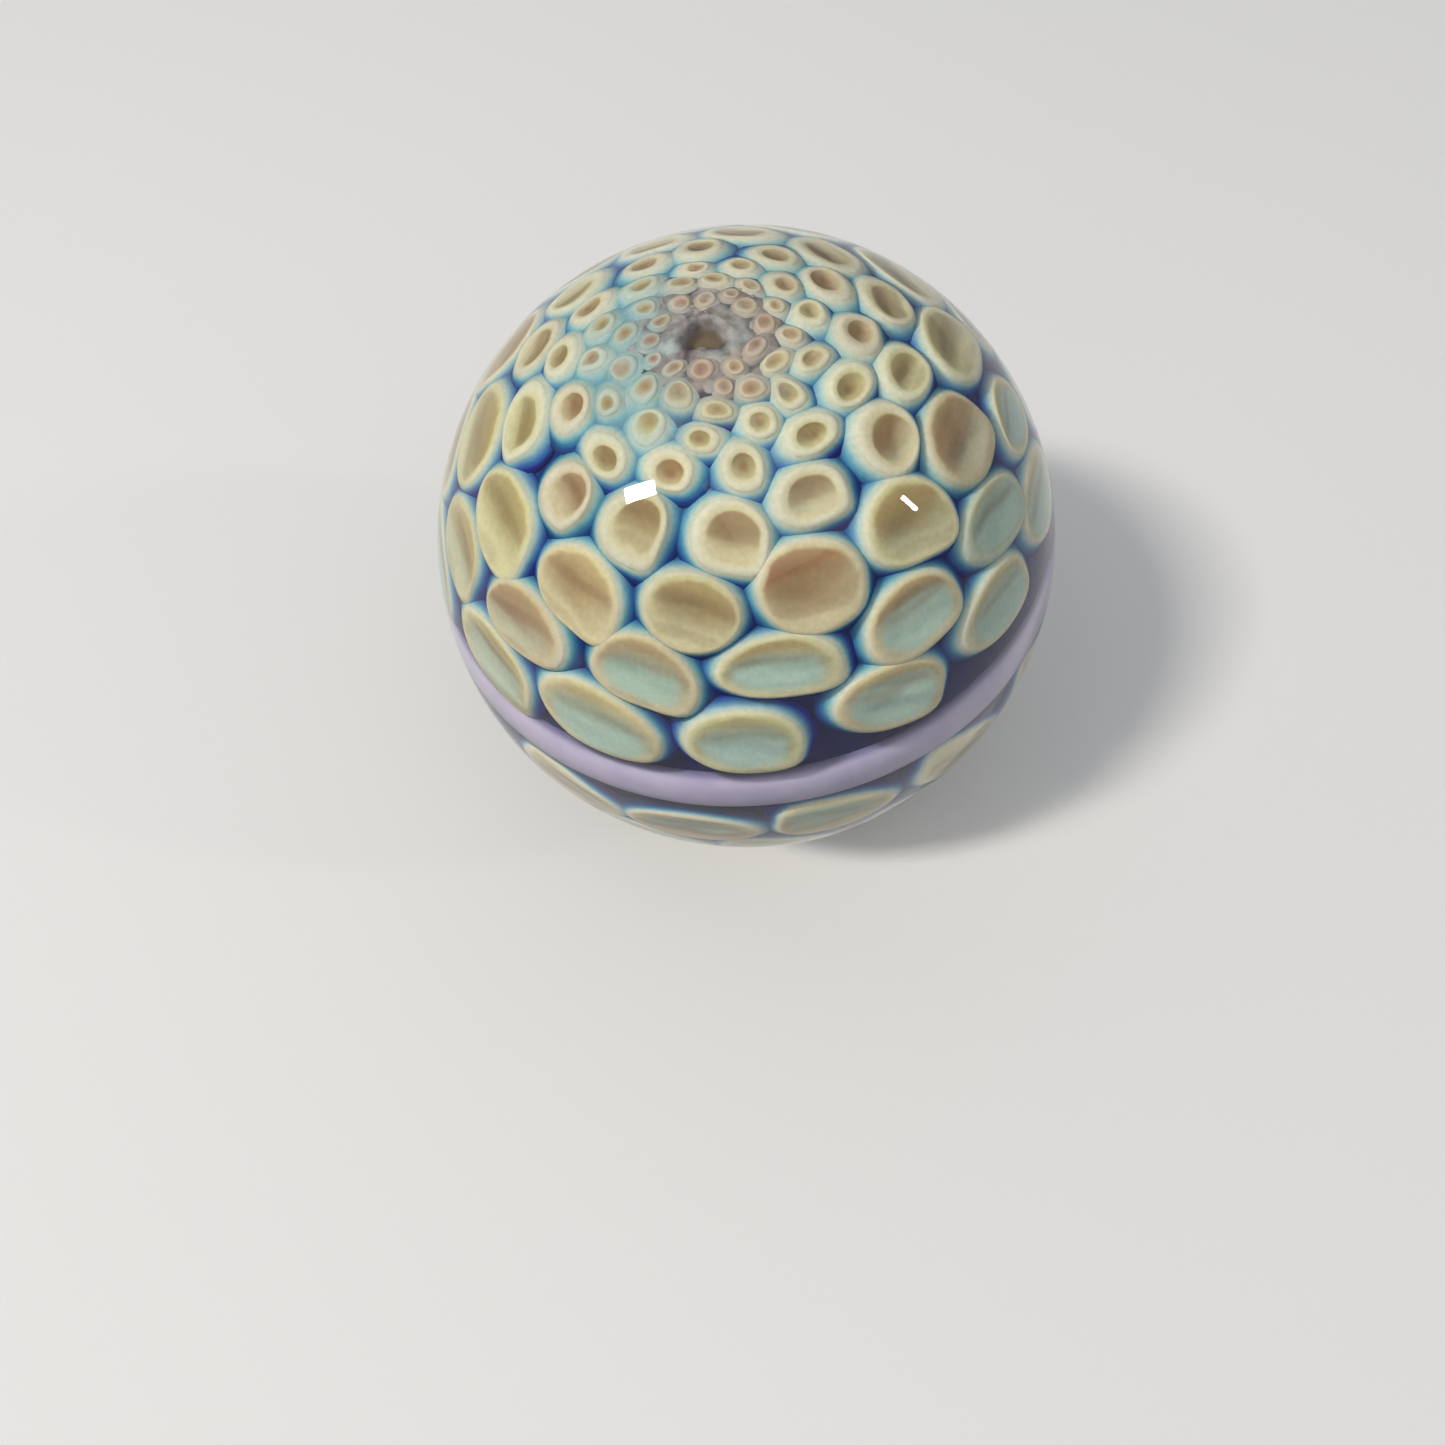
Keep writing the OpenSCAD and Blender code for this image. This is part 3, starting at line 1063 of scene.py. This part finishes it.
clearCasing = makeCasing()
clearCasing.visible_shadow = False  # light reaches the glass inside
settle(clearCasing, clearGlass("clearGlass", clearLook["index"]), "clear_glass", "clear_casing")
settle(makeGround(cells), cellGlass("cobaltGlass", folds=0, mottle=0.6)[0], "cobalt_glass", "cobalt_ground")
settle(makeBand(), bandGlass(), "lavender_glass", "equator_band")
settle(makeCups(cells), cellGlass("creamGlass", folds=0.3, mottle=0.5)[0], "cream_glass", "cream_cups")
settle(makeCollars(cells), cellGlass("skyGlass", folds=0, mottle=0.6)[0], "sky_glass", "sky_collars")
settle(makeEyes(cells), eyeGlass(), "amber_glass", "amber_eyes")
settle(makeVeil(), veilGlass(), "veil_glass", "pole_veil")
settle(makeThreads(), threadGlass(), "veil_glass")
settle(makeBubbles(), clearGlass("airBubble", 1 / clearLook["index"]), "clear_glass")


# studio: pale floor, even sky, a small bright key on the left and a strip on the right
studio = {
    "floor": (226, 224, 220),
    "floorShade": 0.97,  # of its darker streaks
    "floorHalf": 2.5,  # metres
    "sky": (176, 180, 188),
    "skyPower": 0.9,
    # azimuth, elevation and roll in degrees, distance and size in metres, light on a facing surface, colour
    "keyLamp": (202, 54, 64, 0.7, (0.13, 0.06), 0.62, (1, 0.97, 0.92)),
    "stripLamp": (-15, 28, 0, 0.7, (0.02, 0.08), 0.06, (1, 0.98, 0.95)),
    "softLamp": (300, 60, 0, 1.2, (0.9, 0.9), 0.12, (0.95, 0.97, 1)),
}


def makeFloor():
    far = studio["floorHalf"]
    points = [(-far, -far, -ballR), (far, -far, -ballR), (far, far, -ballR), (-far, far, -ballR)]
    floor = newPiece("studioFloor", points, [(0, 1, 2, 3)])
    material, tree, inputs = newMaterial("floorPaint", roughness=0.6, specular=0.2)
    pale = tone(*studio["floor"])
    second = [c * studio["floorShade"] for c in pale]
    colour = useGroup(tree, streakGroup, Color=pale, Second=second, Scale=3.0, Amount=0.6)["Color"]
    tree.links.new(colour, inputs["Base Color"])
    floor.data.materials.append(material)


def makeLamp(name):
    azimuth, elevation, roll, far, size, light, colour = studio[name]
    lamp = bpy.data.lights.new(name, "AREA")
    lamp.shape = "RECTANGLE"
    lamp.size, lamp.size_y = size
    lamp.energy = light * (math.pi * far) ** 2
    lamp.color = colour
    place = bpy.data.objects.new(name, lamp)
    bpy.context.scene.collection.objects.link(place)
    way = polar(Matrix.Identity(3), math.radians(90 - elevation), math.radians(azimuth))
    place.location = way * far
    spin = Quaternion((0, 0, 1), math.radians(roll))
    place.rotation_euler = (way.to_track_quat("Z", "Y") @ spin).to_euler()


def makeSky():
    world = bpy.data.worlds.new("studioSky")
    bpy.context.scene.world = world
    world.use_nodes = True
    sky = world.node_tree.nodes["Background"]
    sky.inputs["Color"].default_value = tone(*studio["sky"])
    sky.inputs["Strength"].default_value = studio["skyPower"]


# the photo's view: ball radii to the camera, its pitch, heading and roll, and its field of view
view = {
    "far": 4.544,
    "pitch": 57.8,
    "heading": 3.25,
    "roll": -8.4,
    "field": 56,
    "sensor": 36,  # mm
    "clip": (0.005, 20),  # metres
    "frame": 1445,  # pixels
    "ballPixel": (745.2, 544.9),
}


def makeCamera():
    turn = Matrix.Rotation(math.radians(view["heading"]), 3, "Z")
    turn = turn @ Matrix.Rotation(math.radians(90 - view["pitch"]), 3, "X")
    turn = turn @ Matrix.Rotation(math.radians(view["roll"]), 3, "Z")
    slope = math.tan(math.radians(view["field"] / 2))
    focal = view["frame"] / 2 / slope
    x, y = (pixel - view["frame"] / 2 for pixel in view["ballPixel"])
    toBall = (turn @ Vector((x, -y, -focal))).normalized()
    lens = bpy.data.cameras.new("photoCamera")
    lens.sensor_width = view["sensor"]
    lens.lens = view["sensor"] / 2 / slope
    lens.clip_start, lens.clip_end = view["clip"]
    camera = bpy.data.objects.new("photoCamera", lens)
    bpy.context.scene.collection.objects.link(camera)
    camera.matrix_world = Matrix.Translation(-toBall * view["far"] * ballR) @ turn.to_4x4()
    bpy.context.scene.camera = camera


makeFloor()
for lampName in ("keyLamp", "stripLamp", "softLamp"):
    makeLamp(lampName)
makeSky()
makeCamera()
bpy.context.scene.view_settings.view_transform = "Standard"
print("studio set")

bpy.context.view_layer.update()
